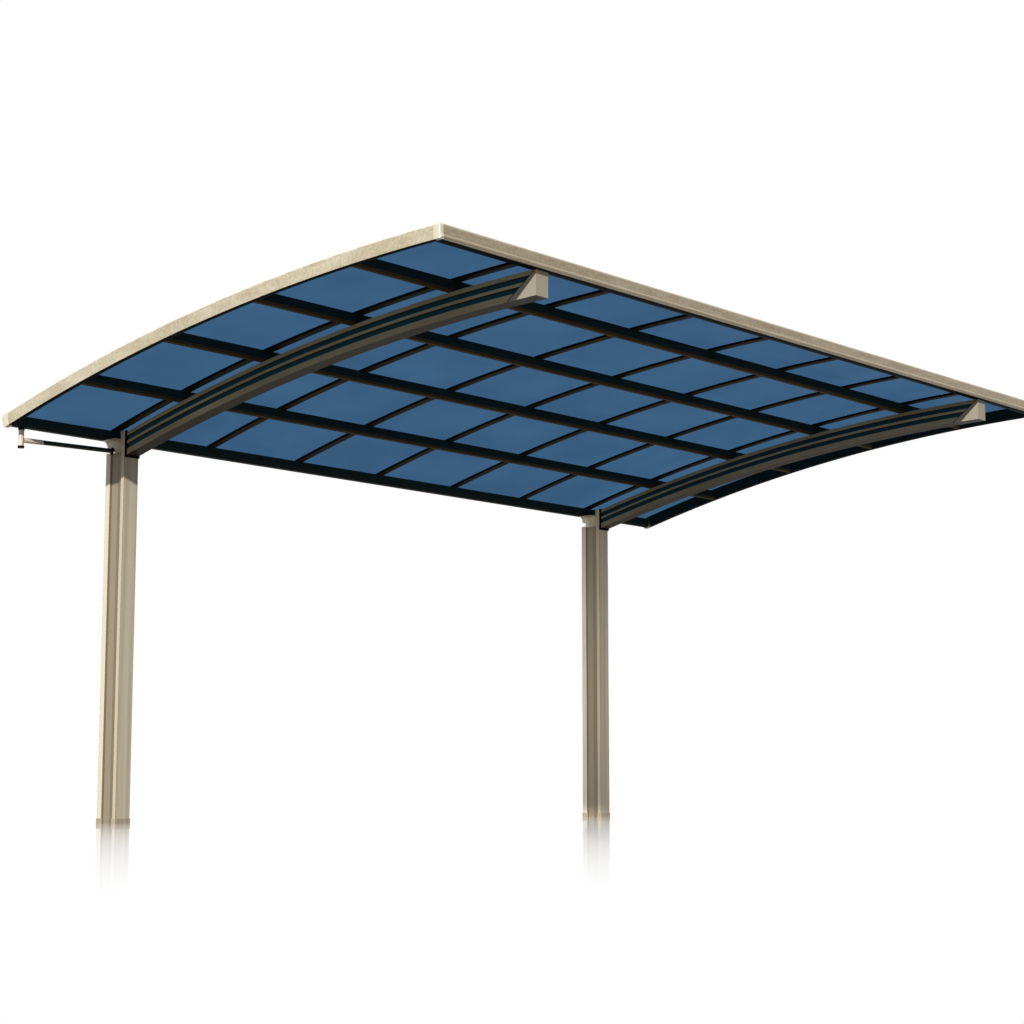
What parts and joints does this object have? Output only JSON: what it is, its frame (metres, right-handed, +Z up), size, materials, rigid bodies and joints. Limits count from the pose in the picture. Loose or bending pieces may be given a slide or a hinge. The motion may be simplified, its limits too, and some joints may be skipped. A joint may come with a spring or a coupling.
{
  "type": "carport",
  "caption": "Cantilever carport: fluted posts carry arched arms, purlins and rafters under an arched roof of tinted sheets, with a rear gutter and drain.",
  "frame": {"origin": "on the ground, at the middle of the near post's foot", "axes": "+X along the carport from the near post to the far post, -Y to the open front under the roof, +Z up"},
  "size_m": [5.652, 3.1912, 2.6406],
  "materials": {
    "champagne_aluminium": "satin powder coat",
    "dark_bronze": "satin dark bronze anodised",
    "pale_cap": "satin moulded",
    "blue_sheet": "clear tinted sheet",
    "black_gasket": "matte",
    "drain_pipe": "satin"
  },
  "bodies": {
    "root": {"near_foot": "champagne_aluminium", "far_foot": "champagne_aluminium", "near_post": "champagne_aluminium", "far_post": "champagne_aluminium", "near_post_head": "champagne_aluminium", "far_post_head": "champagne_aluminium", "near_arm_plate": "black_gasket", "far_arm_plate": "black_gasket", "near_arm": "champagne_aluminium", "far_arm": "champagne_aluminium", "near_arm_cap": "pale_cap", "far_arm_cap": "pale_cap", "purlin_1": "dark_bronze", "purlin_2": "dark_bronze", "purlin_3": "dark_bronze", "purlin_4": "dark_bronze", "rafter_1": "dark_bronze", "rafter_2": "dark_bronze", "rafter_3": "dark_bronze", "rafter_4": "dark_bronze", "rafter_5": "dark_bronze", "rafter_6": "dark_bronze", "rafter_7": "dark_bronze", "sheet_1": "blue_sheet", "sheet_2": "blue_sheet", "sheet_3": "blue_sheet", "sheet_4": "blue_sheet", "sheet_5": "blue_sheet", "sheet_6": "blue_sheet", "sheet_7": "blue_sheet", "sheet_8": "blue_sheet", "near_side_frame": "champagne_aluminium", "far_side_frame": "champagne_aluminium", "front_frame": "champagne_aluminium", "near_side_rail": "dark_bronze", "far_side_rail": "dark_bronze", "front_beam": "dark_bronze", "gutter": "dark_bronze", "front_near_cap": "pale_cap", "front_far_cap": "pale_cap", "rear_near_cap": "pale_cap", "rear_far_cap": "pale_cap", "drain_outlet": "drain_pipe", "drain_collars": "black_gasket", "drain_cross_pipe": "drain_pipe"}
  },
  "joints": []
}
